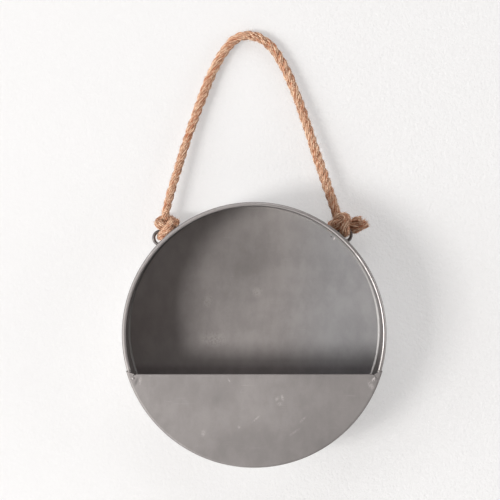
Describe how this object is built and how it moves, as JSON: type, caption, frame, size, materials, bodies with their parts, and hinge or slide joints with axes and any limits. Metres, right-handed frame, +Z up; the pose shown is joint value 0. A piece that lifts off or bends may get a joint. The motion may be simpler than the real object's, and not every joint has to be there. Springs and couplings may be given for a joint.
{
  "type": "wall planter",
  "caption": "Round galvanised sheet-metal wall pocket planter that hangs from a knotted jute rope.",
  "frame": {"origin": "middle of the back disc, on the wall that it hangs on", "axes": "+Y into the wall, along the drum's axis; +Z up; +X to the right seen from the front"},
  "size_m": [0.25, 0.0805, 0.421],
  "materials": {
    "zinc_sheet": "galvanised, satin, faintly mottled and smudged",
    "wire": "galvanised wire, satin",
    "solder": "dull tin solder",
    "jute": "three-strand natural jute, rough and slightly hairy"
  },
  "bodies": {
    "planter": {"back_disc": "zinc_sheet", "back_solder": "solder", "side_band": "zinc_sheet", "rim_wire": "wire", "seam_strip": "zinc_sheet", "front_panel": "zinc_sheet", "corner_solder": "solder", "ear_left": "wire", "ear_right": "wire", "ear_welds": "solder", "rope_knot_left": "jute", "rope_knot_right": "jute"},
    "rope_loop": {"rope": "jute"}
  },
  "joints": [
    {"name": "rope_swing", "type": "hinge", "parent": "planter", "child": "rope_loop", "pos_m": [-0.0031, -0.017, 0.116], "axis": [1, 0, 0], "range_deg": [0, 90]}
  ]
}
